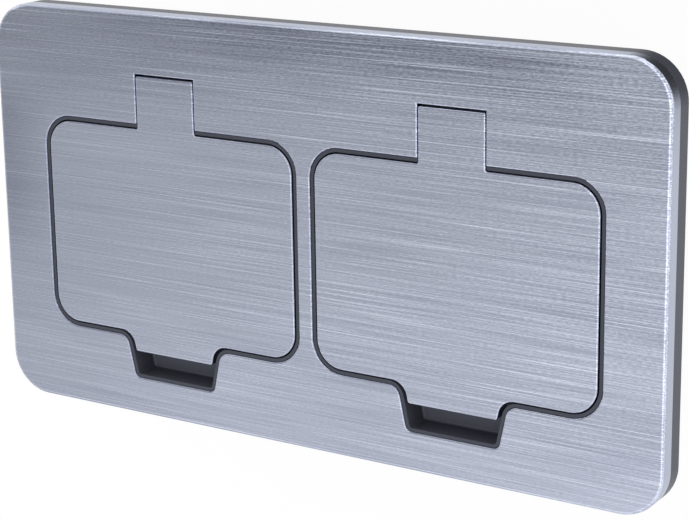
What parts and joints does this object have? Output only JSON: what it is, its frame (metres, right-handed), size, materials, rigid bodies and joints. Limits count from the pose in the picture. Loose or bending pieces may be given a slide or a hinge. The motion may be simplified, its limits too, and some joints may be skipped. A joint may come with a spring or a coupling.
{
  "type": "floor socket box",
  "caption": "Flush floor socket box: brushed steel cover plate with flip lids over shuttered outlets, on a moulded frame and a steel back box.",
  "frame": {"origin": "middle of the rear face of the back box", "axes": "+X along the plate's long side, +Y towards the lid hinges, +Z out of the floor"},
  "size_m": [0.18, 0.1, 0.055],
  "materials": {
    "plate_steel": "brushed along the plate, clear satin",
    "frame_plastic": "fine moulded texture, dark grey",
    "seal_rubber": "soft black rubber",
    "pin_steel": "ground",
    "face_plastic": "satin moulded, dark grey",
    "shutter_plastic": "plain moulded, pale grey",
    "base_plastic": "plain moulded, pale",
    "contact_brass": "pressed strip",
    "screw_steel": "zinc plated",
    "box_steel": "galvanised sheet",
    "spring_steel": "bright wire"
  },
  "bodies": {
    "housing": {"cover_plate": "plate_steel", "under_frame": "frame_plastic", "floor_gasket": "seal_rubber", "socket_base": "base_plastic", "neutral_busbar": "contact_brass", "live_busbar": "contact_brass", "earth_busbar": "contact_brass", "cover_screws": "screw_steel", "frame_screws": "screw_steel", "base_screws": "screw_steel", "terminal_screws": "screw_steel", "earth_terminal_screw": "contact_brass", "back_box": "box_steel", "cable_grommet": "seal_rubber", "lid_seal_left": "seal_rubber", "hinge_pin_left": "pin_steel", "lid_well_left": "frame_plastic", "socket_face_left": "face_plastic", "shutter_spring_left": "spring_steel", "lid_seal_right": "seal_rubber", "hinge_pin_right": "pin_steel", "lid_well_right": "frame_plastic", "socket_face_right": "face_plastic", "shutter_spring_right": "spring_steel"},
    "left_lid": {"lid_left": "plate_steel", "lid_liner_left": "frame_plastic", "lid_screws_left": "screw_steel"},
    "left_shutter": {"shutter_left": "shutter_plastic"},
    "right_lid": {"lid_right": "plate_steel", "lid_liner_right": "frame_plastic", "lid_screws_right": "screw_steel"},
    "right_shutter": {"shutter_right": "shutter_plastic"}
  },
  "joints": [
    {"name": "left_lid_hinge", "type": "hinge", "parent": "housing", "child": "left_lid", "pos_m": [-0.0387, 0.0303, 0.0531], "axis": [-1, 0, 0], "range_deg": [0, 132]},
    {"name": "left_shutter_slide", "type": "slide", "parent": "housing", "child": "left_shutter", "axis": [0, -1, 0], "range_m": [0, 0.0065], "stiffness_N_per_m": 120, "springref_m": -0.004, "deforming": ["shutter_spring_left"]},
    {"name": "right_lid_hinge", "type": "hinge", "parent": "housing", "child": "right_lid", "pos_m": [0.0387, 0.0303, 0.0531], "axis": [-1, 0, 0], "range_deg": [0, 132]},
    {"name": "right_shutter_slide", "type": "slide", "parent": "housing", "child": "right_shutter", "axis": [0, -1, 0], "range_m": [0, 0.0065], "stiffness_N_per_m": 120, "springref_m": -0.004, "deforming": ["shutter_spring_right"]}
  ]
}
